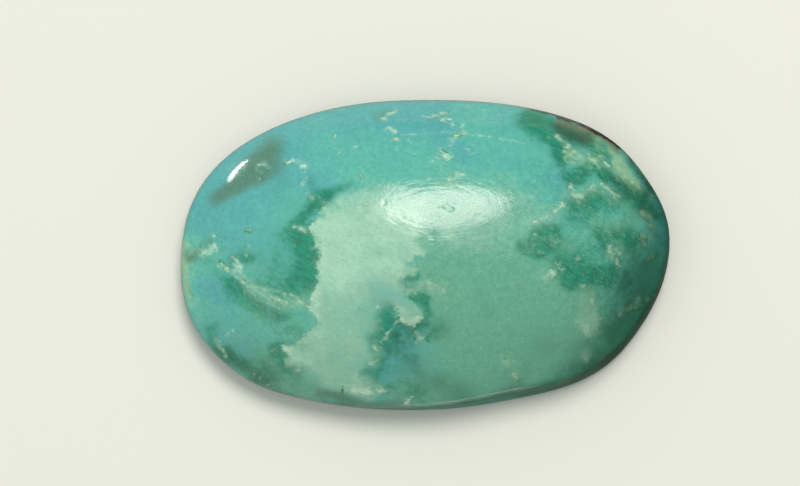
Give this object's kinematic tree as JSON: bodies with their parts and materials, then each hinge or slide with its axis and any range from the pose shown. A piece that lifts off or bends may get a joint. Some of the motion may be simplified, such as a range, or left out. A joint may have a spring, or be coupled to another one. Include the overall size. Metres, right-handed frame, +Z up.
{
  "type": "polished turquoise cabochon",
  "caption": "Oval turquoise stone with a polished dome, a narrow girdle wall, a small bevel under it and a flat back, mottled blue to green.",
  "frame": {"origin": "on the flat back, under the middle of the oval's box", "axes": "+X along the stone's length, towards the end with the ground-off shoulder, +Y across it, +Z up through the top of the dome"},
  "size_m": [0.0156, 0.0098, 0.0035],
  "materials": {
    "turquoise": "polished, mottled from sky blue at one end to sage and deep green at the other, with cream flecks and veins"
  },
  "bodies": {
    "root": {"turquoise_cabochon": "turquoise"}
  },
  "joints": []
}
